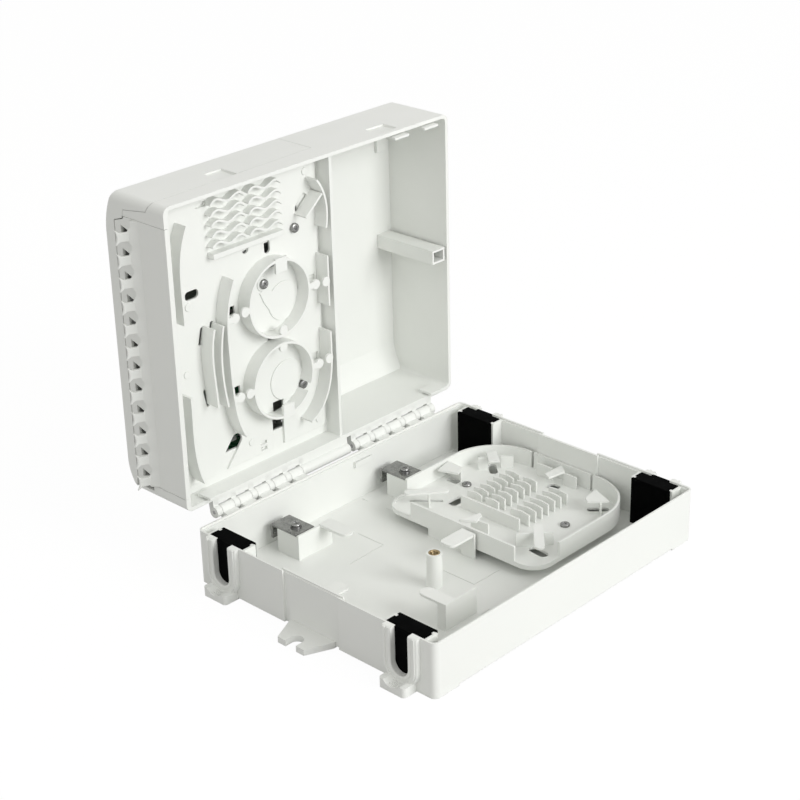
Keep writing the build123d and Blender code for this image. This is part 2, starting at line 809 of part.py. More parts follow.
# Middle frame: the deep lid moulding
with BuildPart() as middle_frame:
    add(lid_form(0))
    add(lid_form(wall), mode=Mode.SUBTRACT)
    add(cover_region(fit_gap), mode=Mode.SUBTRACT)
    # room for the comb plate in the left side
    with BuildSketch(lid_plane(-1)):
        with Locations((0, (comb_low + comb_high) / 2)):
            Rectangle(2 * wall, comb_high - comb_low)
    extrude(amount=-lid_depth + 8, mode=Mode.SUBTRACT)
    with BuildSketch(lid_plane(comb_plate_depth + 0.5)):
        with Locations((0, (comb_first - 8.5 + comb_high) / 2)):
            Rectangle(2 * wall + 1, comb_high - comb_first + 8.5)
    extrude(amount=-lid_depth + comb_plate_depth + 8, mode=Mode.SUBTRACT)
    # inner side wall that carries the comb and the panel
    with BuildSketch(lid_plane(panel_depth)):
        with Locations((comb_thickness + inner_wall / 2, lid_height / 2)):
            Rectangle(inner_wall, lid_height - 2 * wall + 1)
    extrude(amount=panel_depth - fit_gap)
    with BuildSketch(lid_plane(ledge_depth + ledge_thickness)):
        with Locations((comb_thickness + inner_wall / 2, ledge_middle)):
            Rectangle(inner_wall, ledge_high - wall + 1)
    extrude(amount=ledge_depth + ledge_thickness - panel_depth)
    # wall between the compartment and the bay
    with BuildSketch(lid_section(cover_length)):
        lid_profile(wall / 2, 2)
    extrude(amount=divider)
    # ledge under the routing panel, open in the middle
    with BuildSketch(lid_plane(ledge_depth + ledge_thickness)):
        with Locations((comb_thickness + (cover_length - comb_thickness) / 2 + 0.25, ledge_middle)):
            Rectangle(cover_length - comb_thickness + 0.5, ledge_high - wall + 1)
        with Locations((comb_thickness + (cover_length - comb_thickness) / 2, lid_height / 2)):
            RectangleRounded(
                cover_length - comb_thickness - 2 * ledge_margin,
                lid_height - 2 * wall - 2 * ledge_margin,
                8,
                mode=Mode.SUBTRACT,
            )
        for place in panel_screw_places:
            with Locations((cover_length / 2, place[1])):
                Rectangle(cover_length - 2 * ledge_margin + 4, 10)
        for place in panel_screw_places + bracket_screw_places:
            with Locations(place):
                Circle(screw_radius - 0.3, mode=Mode.SUBTRACT)
    extrude(amount=ledge_thickness)
    # pillar and corner pad in the bay
    with BuildSketch(lid_plane(lid_depth - 1)):
        with Locations((length - bay_inset, 125)):
            Rectangle(15, 12)
    extrude(amount=lid_depth - 2)
    with BuildSketch(lid_plane(lid_depth - 4)):
        with Locations((length - bay_inset, 125)):
            Rectangle(11.4, 8.4)
    extrude(amount=lid_depth, mode=Mode.SUBTRACT)
    with BuildSketch(lid_plane(lid_depth - 1)):
        with Locations((length - pad_inset, 209.5)):
            Rectangle(11, 11)
    extrude(amount=5)
    # snap tabs past the rim
    snap_low = wall + snap_gap + snap_thickness / 2
    snap_high = lid_height - snap_low
    for snap_x, snap_y, span in snap_tabs:
        place = snap_high if snap_y else snap_low
        root = lid_height - wall if snap_y else wall
        with BuildSketch(lid_plane(10)):
            with Locations((snap_x, place)):
                Rectangle(span, snap_thickness)
        extrude(amount=10 + snap_reach)
        with BuildSketch(lid_plane(10)):
            with Locations((snap_x, (place + root) / 2)):
                Rectangle(span, snap_gap + snap_thickness + 0.6)
        extrude(amount=4)
    # grip on the top wall of the bay
    with BuildSketch(lid_plane(21)):
        with Locations((236, lid_height)):
            Rectangle(20, 3)
    extrude(amount=15, mode=Mode.SUBTRACT)
    # narrow knuckles of both groups and the plain bar between them
    knuckle_spans = [
        (start + step * knuckle_pitch, lid_knuckle_width)
        for start in (hinge_start_left, hinge_start_right)
        for step in range(knuckle_count + 1)
    ]
    bar_start = hinge_start_left + group_length
    knuckle_spans.append((bar_start - 1, hinge_start_right - bar_gap - bar_start + 1))
    for place, span in knuckle_spans:
        with BuildSketch(hinge_section(place)):
            Circle(knuckle_radius)
            with BuildLine():
                Polyline(
                    (fit_gap, 0),
                    (fit_gap, hinge_offset + wall / 2),
                    (knuckle_radius + 1.5, hinge_offset + wall / 2),
                    (knuckle_radius, 0),
                    close=True,
                )
            make_face()
        extrude(amount=span)
    with BuildSketch(hinge_section(0)):
        Circle(pin_radius + pin_clearance)
    extrude(amount=length, mode=Mode.SUBTRACT)
    # knuckles for the front cover
    for start in cover_knuckle_starts:
        with BuildSketch(lid_section(start)):
            with Locations((cover_axis_depth, cover_axis_height)):
                Circle(cover_knuckle_radius)
            with BuildLine():
                Polyline((54, 0.6), (54, 2.8), (59, 5.5), (60.5, 1.6), (57, 0.2), close=True)
            make_face()
            with Locations((cover_axis_depth, cover_axis_height)):
                Circle(cover_pin_radius + pin_clearance, mode=Mode.SUBTRACT)
        extrude(amount=cover_knuckle_width)
middle_frame.part.label = "middle_frame"
export_step(middle_frame.part, "parts/middle_frame.step")

# Front cover over the compartment, with a finger grip on its top wall
with BuildPart() as front_cover:
    add(lid_form(0))
    add(lid_form(wall), mode=Mode.SUBTRACT)
    add(cover_region(0), mode=Mode.INTERSECT)
    add(cover_knuckle_cuts(cover_knuckle_radius + 0.5, 0.4), mode=Mode.SUBTRACT)
    for start in cover_knuckle_starts:
        for place in (start - 0.4 - 6, start + cover_knuckle_width + 0.4):
            with BuildSketch(lid_section(place)):
                with Locations((cover_axis_depth, cover_axis_height)):
                    Circle(cover_knuckle_radius)
                with BuildLine():
                    Polyline((60, 4), (60, 6.4), (66, 12), (65, 7), (62, 4), close=True)
                make_face()
                with Locations((cover_axis_depth, cover_axis_height)):
                    Circle(cover_pin_radius + pin_clearance, mode=Mode.SUBTRACT)
            extrude(amount=6)
        with BuildSketch(lid_section(start - 6.4)):
            with Locations((cover_axis_depth, cover_axis_height)):
                Circle(cover_pin_radius + pin_clearance)
        extrude(amount=cover_knuckle_width + 12.8, mode=Mode.SUBTRACT)
    with BuildSketch(lid_plane(36)):
        with Locations((78.5, lid_height)):
            Rectangle(17, 3)
    extrude(amount=18, mode=Mode.SUBTRACT)
front_cover.part.label = "front_cover"
export_step(front_cover.part, "parts/front_cover.step")

with BuildPart() as cover_hinge_pins:
    for start in cover_knuckle_starts:
        with BuildSketch(lid_section(start - 6)):
            with Locations((cover_axis_depth, cover_axis_height)):
                Circle(cover_pin_radius)
        extrude(amount=cover_knuckle_width + 12)
cover_hinge_pins.part.label = "cover_hinge_pins"
export_step(cover_hinge_pins.part, "parts/cover_hinge_pins.step")


# Routing panel: a plate with spool rings, fibre walls, tabs and openings
def curved_wall(*points):
    """Thin wall in a sketch, along a smooth line through the points."""
    with BuildLine() as run:
        Spline(*points)
    trace(run.edges(), line_width=panel_wall)


def wavy_row(start, end, row_y):
    """Scalloped row of the sleeve comb: a wall that waves once for each sleeve."""
    waves = sleeve_waves
    step = (end - start) / (2 * waves)
    points = [(start + step * k, row_y + (sleeve_wave if k % 2 else -sleeve_wave)) for k in range(2 * waves + 1)]
    curved_wall(*points)


panel_right = cover_length - panel_margin_right
panel_high = lid_height - panel_margin_high
panel_centre = ((panel_margin_left + panel_right) / 2, (panel_margin_low + panel_high) / 2)
tab_depth = panel_depth - panel_guide_height
with BuildPart() as routing_panel:
    with BuildSketch(lid_plane(ledge_depth)):
        with Locations(panel_centre):
            RectangleRounded(panel_right - panel_margin_left, panel_high - panel_margin_low, 4)
    extrude(amount=panel_thickness)
    # low pads inside the rings, and round bosses on the plate
    with BuildSketch(lid_plane(panel_depth + 0.2)):
        with Locations((123.4, 133.2)):
            Circle(16)
        with BuildLine():
            Polyline((112, 144), (104, 149), (99, 146), (103, 137), (109, 128), close=True)
        make_face()
        with Locations((122, 65.8)):
            Circle(17)
        with Locations(panel_screw_places[2]):
            Circle(screw_head_radius + 0.8, mode=Mode.SUBTRACT)
        with Locations((103, 153)):
            Circle(6)
        for boss in ((82, 25), (155, 19), (22, 104), (28, 157), (53.5, 224), (152, 231)):
            with Locations(boss):
                Circle(3)
    extrude(amount=1.0)
    # openings through the plate
    with BuildSketch(lid_plane(ledge_depth + 1)):
        tongue_between((70, 37), (40, 0), 11)
        with Locations((111, 21)):
            Rectangle(12, 30)
        with Locations((94.6, 19.7), (94.6, 14.6)):
            Rectangle(6.3, 3)
        tongue_between((40, 137), (36.6, 123), 3)
        tongue_between((50, 139), (47.6, 131), 3)
        tongue_between((37.8, 86), (41, 71), 3)
        with Locations((32.4, 165.5)):
            RectangleRounded(13, 7, 3)
        tongue_between((87.5, 182), (87.5, 190), 6)
        tongue_between((109.5, 176), (109.5, 187), 6)
        tongue_between((152, 213), (142, 200), 8)
        with Locations((49.5, 232)):
            Rectangle(15, 4)
        for centre in ((68, 141), (68.5, 74), (153, 141.5), (153, 74.5), (110, 107.4)):
            with Locations(centre):
                Rectangle(10, 7)
        with Locations((112, 168), (112, 46)):
            Rectangle(11, 9)
    extrude(amount=panel_thickness + 3, mode=Mode.SUBTRACT)
    # spool rings, fibre walls and the fins at the right edge
    with BuildSketch(lid_plane(panel_depth + 0.2)):
        for ring_y in ring_ys:
            with Locations((ring_x, ring_y)):
                Circle(ring_radius)
                Circle(ring_radius - 2, mode=Mode.SUBTRACT)
        with Locations(panel_screw_places[2]):
            Circle(screw_head_radius + 1.5, mode=Mode.SUBTRACT)
        curved_wall((64, 171), (57.7, 155), (55, 111), (57, 74), (62.4, 49), (66.8, 40))
        curved_wall((41.6, 138), (38.7, 124), (39, 95), (40.3, 74))
        curved_wall((50.6, 138), (47.8, 124), (46.9, 98), (50.4, 71))
        curved_wall((22.3, 225), (14.9, 203), (13.3, 177), (13.9, 150))
        curved_wall((14.5, 91), (14.4, 67), (15.6, 40), (21.8, 16.7))
        curved_wall((153, 226), (158, 218), (161, 185))
        plate_between((161, 120), (161, 162), panel_wall)
        curved_wall((161, 98), (161, 74), (159.5, 60), (152, 40), (136, 26.5))
        plate_between((158, 214), (140, 199), panel_wall)
    extrude(amount=panel_guide_height + 0.2)
    # small tongues that face each other across the fibre path, and square hooks at the rings
    with BuildSketch(lid_plane(tab_depth + tab_thickness)):
        for wall_end, tip in (
            ((56, 140), (63, 140)),
            ((79, 142), (73, 142)),
            ((56.5, 74), (63.5, 74)),
            ((79, 74), (73, 74)),
            ((139, 142), (147.5, 142)),
            ((161, 141), (158.5, 141)),
            ((139, 74), (147.5, 74)),
            ((161, 75), (158.5, 75)),
            ((111, 110), (111, 115)),
            ((110, 104), (110, 101)),
        ):
            plate_between(wall_end, tip, 5)
            with Locations(tip):
                Circle(4)
        with Locations((112, 168.8), (112, 45.5)):
            Rectangle(12, 12)
    extrude(amount=tab_thickness)
    # sleeve comb: a base bar and rows of scalloped ridges in two columns
    with BuildSketch(lid_plane(panel_depth + 0.2)):
        with Locations(((sleeve_start + sleeve_end) / 2, sleeve_base)):
            Rectangle(sleeve_end - sleeve_start, 4)
        middle = (sleeve_start + sleeve_end) / 2
        for row in range(sleeve_rows):
            wavy_row(sleeve_start, middle - 1.8, sleeve_base + 8.3 * (row + 1))
            wavy_row(middle + 1.8, sleeve_end, sleeve_base + 8.3 * (row + 1))
    extrude(amount=sleeve_height + 0.2)
    for place in panel_screw_places:
        with BuildSketch(lid_plane(ledge_depth + 1)):
            with Locations(place):
                Circle(screw_radius + screw_clearance)
        extrude(amount=panel_thickness + 3, mode=Mode.SUBTRACT)
routing_panel.part.label = "routing_panel"
export_step(routing_panel.part, "parts/routing_panel.step")

with BuildPart(lid_plane(panel_depth)) as panel_screws:
    for place in panel_screw_places:
        rise = 0.8 if place == panel_screw_places[1] else 0
        with Locations((place[0], place[1], rise)):
            add(pan_screw(panel_thickness + ledge_thickness + rise))
panel_screws.part.label = "panel_screws"
export_step(panel_screws.part, "parts/panel_screws.step")

# Drop cable comb: a side plate whose T-shaped teeth keep the cables apart
with BuildPart() as drop_cable_comb:
    with BuildSketch(lid_section(0)):
        with Locations(((comb_plate_depth + fit_gap) / 2, (comb_low + comb_high) / 2)):
            Rectangle(comb_plate_depth - fit_gap, comb_high - comb_low - 2 * fit_gap)
        for step in range(comb_teeth):
            tooth = comb_first + step * comb_pitch
            half_head = comb_head_width / 2
            with Locations(((comb_plate_depth + comb_tip_depth - 5) / 2, tooth)):
                Rectangle(comb_tip_depth - 5 - comb_plate_depth + 2, comb_stem_width)
            with BuildLine():
                Line((comb_tip_depth - 6, tooth - half_head), (comb_tip_depth - 6, tooth + half_head))
                Line((comb_tip_depth - 6, tooth + half_head), (comb_tip_depth, tooth + half_head))
                ThreePointArc(
                    (comb_tip_depth, tooth + half_head),
                    (comb_tip_depth - 2.6, tooth),
                    (comb_tip_depth, tooth - half_head),
                )
                Line((comb_tip_depth, tooth - half_head), (comb_tip_depth - 6, tooth - half_head))
            make_face()
        with Locations((comb_plate_depth + 3, comb_high - 4.5)):
            Rectangle(8, 5)
    extrude(amount=comb_thickness)
    # inner row with V-shaped notches, on a ledge from the plate
    with BuildSketch(lid_section(comb_thickness - 0.2)):
        with Locations((comb_plate_depth - 1, (comb_low + comb_high) / 2)):
            Rectangle(2, comb_high - comb_low - 2 * fit_gap)
    extrude(amount=comb_inner_set - comb_thickness + 0.4)
    with BuildSketch(lid_section(comb_inner_set)):
        for step in range(comb_teeth):
            tooth = comb_first + step * comb_pitch
            with BuildLine():
                Polyline(
                    (comb_plate_depth - 2, max(tooth - 8.2, comb_low + fit_gap)),
                    (comb_plate_depth - 2, tooth + 8.2),
                    (comb_plate_depth + 12, tooth + 2),
                    (comb_plate_depth + 12, tooth - 2),
                    close=True,
                )
            make_face()
        with Locations((comb_plate_depth - 1, (comb_low + comb_high) / 2)):
            Rectangle(2, comb_high - comb_low - 2 * fit_gap)
    extrude(amount=1.8)
drop_cable_comb.part.label = "drop_cable_comb"
export_step(drop_cable_comb.part, "parts/drop_cable_comb.step")

# Adapter strip: an angle that stands on the ledge, with a window for each adapter
adapter_ys = [comb_first + step * comb_pitch for step in range(adapter_count)]
strip_low = wall + 3
strip_high = lid_height - wall - 3
with BuildPart() as adapter_bracket:
    strip_foot = ledge_depth + ledge_thickness
    with BuildSketch(lid_section(adapter_strip_x)):
        with Locations((strip_foot + adapter_strip_depth / 2, (strip_low + strip_high) / 2)):
            Rectangle(adapter_strip_depth, strip_high - strip_low)
        for place in adapter_ys:
            with Locations((adapter_depth_place, place)):
                Rectangle(adapter_height + 0.2, adapter_width + 0.2, mode=Mode.SUBTRACT)
    extrude(amount=adapter_strip_thickness)
    with BuildSketch(lid_plane(strip_foot)):
        with Locations((adapter_strip_x + adapter_strip_flange / 2, (strip_low + strip_high) / 2)):
            Rectangle(adapter_strip_flange, strip_high - strip_low)
        for place in bracket_screw_places:
            with Locations(place):
                Circle(screw_radius + screw_clearance, mode=Mode.SUBTRACT)
    extrude(amount=-adapter_strip_thickness)
adapter_bracket.part.label = "adapter_bracket"
export_step(adapter_bracket.part, "parts/adapter_bracket.step")

with BuildPart() as adapters:
    adapter_start = adapter_strip_x + adapter_strip_thickness / 2 - adapter_length / 2
    with BuildSketch(lid_section(adapter_start)):
        for place in adapter_ys:
            with Locations((adapter_depth_place, place)):
                Rectangle(adapter_height, adapter_width)
    extrude(amount=adapter_length)
    with BuildSketch(lid_section(adapter_strip_x)):
        for place in adapter_ys:
            with Locations((adapter_depth_place, place)):
                Rectangle(adapter_height + 2, adapter_flange)
    extrude(amount=-adapter_flange_thickness)
    for socket in (adapter_start, adapter_start + adapter_length):
        with BuildSketch(lid_section(socket)):
            for place in adapter_ys:
                with Locations((adapter_depth_place, place)):
                    Rectangle(adapter_height - 2, adapter_width - 2)
        extrude(amount=8, both=True, mode=Mode.SUBTRACT)
adapters.part.label = "adapters"
export_step(adapters.part, "parts/adapters.step")

with BuildPart(Plane(lid_plane(0).origin, x_dir=(1, 0, 0), z_dir=(0, 1, 0))) as bracket_screws:
    for place in bracket_screw_places:
        with Locations((place[0], -place[1], ledge_depth + ledge_thickness + adapter_strip_thickness)):
            add(pan_screw(adapter_strip_thickness + ledge_thickness))
bracket_screws.part.label = "bracket_screws"
export_step(bracket_screws.part, "parts/bracket_screws.step")
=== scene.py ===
"""Looks, light and camera for the fibre distribution box, standing open on a pale floor."""

import json
import math

import bpy
import numpy as np
from mathutils import Matrix, Vector
from mathutils.geometry import tessellate_polygon


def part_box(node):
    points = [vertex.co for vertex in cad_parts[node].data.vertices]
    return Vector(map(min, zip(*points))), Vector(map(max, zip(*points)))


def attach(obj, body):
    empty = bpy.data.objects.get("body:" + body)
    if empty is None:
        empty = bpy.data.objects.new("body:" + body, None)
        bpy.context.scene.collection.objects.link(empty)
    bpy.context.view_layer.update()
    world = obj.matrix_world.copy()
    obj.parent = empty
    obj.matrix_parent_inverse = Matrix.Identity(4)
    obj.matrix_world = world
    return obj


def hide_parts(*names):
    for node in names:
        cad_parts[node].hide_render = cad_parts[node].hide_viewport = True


MM = 0.001

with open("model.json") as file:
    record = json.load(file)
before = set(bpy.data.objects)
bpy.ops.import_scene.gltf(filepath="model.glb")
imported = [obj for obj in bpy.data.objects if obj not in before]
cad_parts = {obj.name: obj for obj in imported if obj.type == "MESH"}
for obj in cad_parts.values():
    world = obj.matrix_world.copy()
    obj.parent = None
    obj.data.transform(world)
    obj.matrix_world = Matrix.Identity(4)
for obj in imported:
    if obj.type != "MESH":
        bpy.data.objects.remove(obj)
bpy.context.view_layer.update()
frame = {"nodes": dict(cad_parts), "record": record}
cad = frame["nodes"]

# Camera, solved from the straight edges of the base and the lid
CAMERA_PLACE = (-0.9328, -0.8543, 0.7356)
CAMERA_AZIMUTH = math.radians(-45.91)
CAMERA_ELEVATION = math.radians(25.27)
CAMERA_ROLL = math.radians(-1.48)
CAMERA_LENS = 83.83

# Screws: pan heads with a cross recess, and a coarse thread for plastic
HEAD_RADIUS = 4.0 * MM
HEAD_HEIGHT = 2.4 * MM
HEAD_DOME = 0.9 * MM
HEAD_TOP_SHARE = 0.93
HEAD_FOOT_SHARE = 0.985
SHANK_RADIUS = 1.98 * MM
SHANK_TIP_LENGTH = 2.0 * MM
SHANK_TIP_SHARE = 0.25
THREAD_START = 0.05 * MM
THREAD_DEPTH = 0.3 * MM
THREAD_PITCH = 1.2 * MM
RECESS_DEPTH = 1.3 * MM
RECESS_REACH = 2.3 * MM
RECESS_HALF_WIDTH = 0.55 * MM
PANEL_SCREWS = ((138.0, 189.0), (103.0, 153.0), (139.0, 56.0))

# Insert in the standoff
INSERT_BORE = 2.5 * MM
INSERT_PITCH = 1.0 * MM
INSERT_THREAD_DEPTH = 0.35 * MM
INSERT_CHAMFER = 1.2 * MM
INSERT_LIP = 0.7 * MM
INSERT_LIP_EDGE = 0.3 * MM
KNURL_COUNT = 36
KNURL_TWIST = 40
KNURL_BAND = 0.36
KNURL_DEPTH = 0.16 * MM

# Base
HALF_LENGTH = 150.0 * MM
RIM_HEIGHT = 45.0 * MM
WALL = 3.0 * MM

# Lid: its hinge side is the zero of the heights that follow, its left end that of the lengths
LID_HEIGHT = 245.0 * MM
KNUCKLE_RADIUS = 4.6 * MM

# Drop cable comb: plate with a row of wedge openings, a ridge, and T-shaped lugs to tie the cables to
COMB_LOW, COMB_HIGH = 11.3 * MM, 228.7 * MM
COMB_BACK = 57.2 * MM
COMB_SHOULDER = ((57.2 * MM, 223.6 * MM), (48.0 * MM, 226.4 * MM), (46.0 * MM, 228.7 * MM))
COMB_THICKNESS = 2.8 * MM
COMB_RIM = 0.3 * MM
LUG_COUNT = 12
LUG_PITCH = 18.15 * MM
LUG_FIRST = 16.8 * MM
LUG_DEPTH = 36.0 * MM
LUG_REACH = 14.2 * MM
LUG_ROOT = 1.0 * MM
LUG_TILT = math.radians(25.6)
LUG_THICKNESS = 2.5 * MM
LUG_RIM = 0.5 * MM
LUG_STEM_WIDTH = 7.0 * MM
LUG_HEAD_WIDTH = 12.4 * MM
LUG_HEAD_LENGTH = 4.0 * MM
LUG_HOLLOW = 1.8 * MM
RIDGE_START = 30.0 * MM
RIDGE_EDGE = (37.2 * MM, 40.4 * MM)
RIDGE_HEIGHT = (2.6 * MM, 5.6 * MM)
RIDGE_FLARE = 1.15
RIDGE_BROW = 1.6 * MM
RIDGE_INSET = 0.5 * MM
WEDGE_TIP, WEDGE_END = 39.5 * MM, 50.5 * MM
WEDGE_HEIGHT = 6.6 * MM
WEDGE_RISE = 1.7 * MM

# Apron over the hinge groups, down from the lid's edge
APRON_STARTS = (26.0 * MM, 177.0 * MM)
APRON_LENGTH = 97.2 * MM
APRON_DROP = 4.3 * MM
APRON_ROOT = 0.8 * MM
APRON_SLANT = 1.5 * MM
APRON_GAP = 0.3 * MM
APRON_RIM = 0.5 * MM

# Cable entries: a U-shaped slot, and a double lip on the surround, as outer width, inner width and rise
ENTRY_PITCH = 185.0 * MM
SLOT_BOTTOM = 9.5 * MM
SLOT_RADIUS = 8.25 * MM
SURROUND_DEPTH = 4.0 * MM
LIPS = ((14.9 * MM, 13.0 * MM, 0.9 * MM), (11.0 * MM, 8.8 * MM, 0.4 * MM))
LIP_ROOT = 0.6 * MM
LIP_TOP_GAP = 0.4 * MM
LIP_RIM = 0.35 * MM

# Glands
GLAND_WIDTH = 36.0 * MM
GLAND_DEPTH = 13.5 * MM
GLAND_RIM = 0.9 * MM
GLAND_GROOVE = 3.0 * MM
GLAND_GROOVE_PLACE = 8.0 * MM
GLAND_GROOVE_DEPTH = 2.0 * MM
NOSE_REACH = 2.6 * MM
NOSE_ROOT = 0.5 * MM
NOSE_GAP = 0.2 * MM
NOSE_RIM = 0.4 * MM


# Materials


def node_material(name):
    """Empty node material, its shader and the object's own coordinates."""
    material = bpy.data.materials.new(name)
    material.use_nodes = True
    nodes = material.node_tree.nodes
    nodes.clear()
    output = nodes.new("ShaderNodeOutputMaterial")
    shader = nodes.new("ShaderNodeBsdfPrincipled")
    place = nodes.new("ShaderNodeTexCoord")
    material.node_tree.links.new(shader.outputs["BSDF"], output.inputs["Surface"])
    return material, shader, place.outputs["Object"]


def noise(tree, place, scale, detail=2.0, roughness=0.5):
    """Noise of so many cells a metre, on the given coordinates."""
    pattern = tree.nodes.new("ShaderNodeTexNoise")
    pattern.inputs["Scale"].default_value = scale
    pattern.inputs["Detail"].default_value = detail
    pattern.inputs["Roughness"].default_value = roughness
    tree.links.new(place, pattern.inputs["Vector"])
    return pattern


def spread(tree, pattern, low, high):
    """The pattern's middle range stretched between two values."""
    ramp = tree.nodes.new("ShaderNodeMapRange")
    ramp.inputs["From Min"].default_value = 0.3
    ramp.inputs["From Max"].default_value = 0.7
    ramp.inputs["To Min"].default_value = low
    ramp.inputs["To Max"].default_value = high
    tree.links.new(pattern.outputs["Fac"], ramp.inputs["Value"])
    return ramp.outputs[0]


def tinted(tree, factor, one, other):
    """Colour between two, by a factor."""
    blend = tree.nodes.new("ShaderNodeMix")
    blend.data_type = "RGBA"
    blend.inputs[6].default_value = (*one, 1)
    blend.inputs[7].default_value = (*other, 1)
    tree.links.new(factor, blend.inputs[0])
    return blend.outputs[2]


def soft_edge(tree, radius):
    """Normal that rounds the sharp edges of a moulding or a stamping by a small radius."""
    rounded = tree.nodes.new("ShaderNodeBevel")
    rounded.samples = 6
    rounded.inputs["Radius"].default_value = radius
    return rounded.outputs["Normal"]


def grain(tree, pattern, strength, distance, under):
    """Normal bumped by a pattern, on top of another normal."""
    bump = tree.nodes.new("ShaderNodeBump")
    bump.inputs["Strength"].default_value = strength
    bump.inputs["Distance"].default_value = distance
    tree.links.new(pattern.outputs["Fac"], bump.inputs["Height"])
    tree.links.new(under, bump.inputs["Normal"])
    return bump.outputs["Normal"]


def moulded_plastic(name, light, dark, roughness, edge):
    """Moulded plastic: fine spark grain, faint flow clouds, satin gloss and rounded edges."""
    material, shader, place = node_material(name)
    tree = material.node_tree
    clouds = spread(tree, noise(tree, place, 9.0, 3.0), 0.0, 1.0)
    tree.links.new(tinted(tree, clouds, light, dark), shader.inputs["Base Color"])
    gloss = spread(tree, noise(tree, place, 60.0, 3.0), roughness - 0.05, roughness + 0.05)
    tree.links.new(gloss, shader.inputs["Roughness"])
    shader.inputs["Specular IOR Level"].default_value = 0.4
    waves = grain(tree, noise(tree, place, 35.0, 1.0), 0.12, 0.4 * MM, soft_edge(tree, edge))
    spark = grain(tree, noise(tree, place, 2200.0, 2.0), 0.10, 0.06 * MM, waves)
    tree.links.new(spark, shader.inputs["Normal"])
    return material


def moulded_rubber(name, dark, dusty):
    """Moulded rubber: dull, faintly dusty, with a pebbled surface."""
    material, shader, place = node_material(name)
    tree = material.node_tree
    dust = spread(tree, noise(tree, place, 260.0, 5.0, 0.7), 0.0, 1.0)
    tree.links.new(tinted(tree, dust, dark, dusty), shader.inputs["Base Color"])
    shader.inputs["Specular IOR Level"].default_value = 0.015
    gloss = spread(tree, noise(tree, place, 120.0, 3.0), 0.6, 0.75)
    tree.links.new(gloss, shader.inputs["Roughness"])
    pebbles = grain(tree, noise(tree, place, 900.0, 3.0), 0.25, 0.1 * MM, soft_edge(tree, 0.8 * MM))
    tree.links.new(pebbles, shader.inputs["Normal"])
    return material


def coated_metal(name, light, dark, roughness, brushing, metallic=1.0):
    """Plated, turned or painted metal: cloudy coat, fine brushed grain, small scratches."""
    material, shader, place = node_material(name)
    tree = material.node_tree
    clouds = spread(tree, noise(tree, place, 180.0, 4.0, 0.6), 0.0, 1.0)
    tree.links.new(tinted(tree, clouds, light, dark), shader.inputs["Base Color"])
    shader.inputs["Metallic"].default_value = metallic
    gloss = spread(tree, noise(tree, place, 420.0, 4.0), roughness - 0.08, roughness + 0.1)
    tree.links.new(gloss, shader.inputs["Roughness"])
    along = tree.nodes.new("ShaderNodeMapping")
    along.inputs["Scale"].default_value = (1.0, 0.08, 1.0)
    tree.links.new(place, along.inputs["Vector"])
    brushed = noise(tree, along.outputs["Vector"], brushing, 3.0)
    marks = grain(tree, brushed, 0.12, 0.05 * MM, soft_edge(tree, 0.25 * MM))
    tree.links.new(marks, shader.inputs["Normal"])
    return material


FINISHES = {
    "white_plastic": moulded_plastic("white_moulding", (0.865, 0.878, 0.848), (0.84, 0.857, 0.828), 0.42, 0.5 * MM),
    "green_plastic": moulded_plastic("green_adapter", (0.03, 0.33, 0.12), (0.02, 0.27, 0.09), 0.32, 0.25 * MM),
    "black_rubber": moulded_rubber("black_rubber", (0.0008, 0.0009, 0.0009), (0.002, 0.0022, 0.0022)),
    "steel": coated_metal("zinc_plate", (0.34, 0.34, 0.33), (0.22, 0.22, 0.22), 0.30, 3000.0),
    "brass": coated_metal("turned_brass", (0.42, 0.33, 0.19), (0.30, 0.23, 0.13), 0.30, 4000.0),
    "bracket_steel": coated_metal("grey_powder_coat", (0.62, 0.63, 0.62), (0.56, 0.57, 0.56), 0.5, 1500.0, 0.0),
}
for subpart in frame["record"]["subparts"]:
    for slot in cad[subpart["node"]].material_slots:
        slot.material = FINISHES[subpart["material_slot"]]


# Shapes: each is its points, its quads and its triangles


def grid_faces(rows, columns, start):
    """Quads between neighbouring rows of a grid that closes on itself round each row."""
    row, column = np.meshgrid(np.arange(rows - 1), np.arange(columns), indexing="ij")
    ahead = (column + 1) % columns
    quads = np.stack(
        (row * columns + column, row * columns + ahead, (row + 1) * columns + ahead, (row + 1) * columns + column),
        axis=-1,
    )
    return quads.reshape(-1, 4) + start


def fan(ring, centre):
    """Triangles from each edge of a closed ring of points to one point."""
    return np.stack((ring, np.roll(ring, -1), np.full_like(ring, centre)), axis=-1)


def turned_shape(radius, height):
    """Closed surface of revolution: row i of the grid lies at the given radii and heights for every angle.

    The first and the last row are drawn in to one point each on the axis.
    """
    rows, columns = radius.shape
    angle = np.linspace(0, 2 * math.pi, columns, endpoint=False)[None, :]
    ring = np.stack((radius * np.cos(angle), radius * np.sin(angle), height + 0 * radius), axis=-1)
    points = np.concatenate(([[0, 0, height[0].mean()]], ring.reshape(-1, 3), [[0, 0, height[-1].mean()]]))
    first = 1 + np.arange(columns)
    last = first + (rows - 1) * columns
    caps = np.concatenate((fan(first, 0), fan(last, len(points) - 1)[:, ::-1]))
    return points, grid_faces(rows, columns, 1)[:, ::-1], caps


def arc(centre, radius, start, end, count=25):
    """Points on a circle between two angles in degrees."""
    angle = np.radians(np.linspace(start, end, count))
    return np.stack((centre[0] + radius * np.cos(angle), centre[1] + radius * np.sin(angle)), axis=-1)


def drawn_in(loop, distance):
    """The outline moved inwards: each corner goes along the sum of its two edges' left-hand normals."""
    along = np.roll(loop, -1, axis=0) - loop
    along = along / np.linalg.norm(along, axis=1, keepdims=True)
    left = np.stack((-along[:, 1], along[:, 0]), axis=-1)
    before = np.roll(left, 1, axis=0)
    sharpness = np.maximum(1 + (left * before).sum(axis=1, keepdims=True), 0.5)
    return loop + distance * (left + before) / sharpness


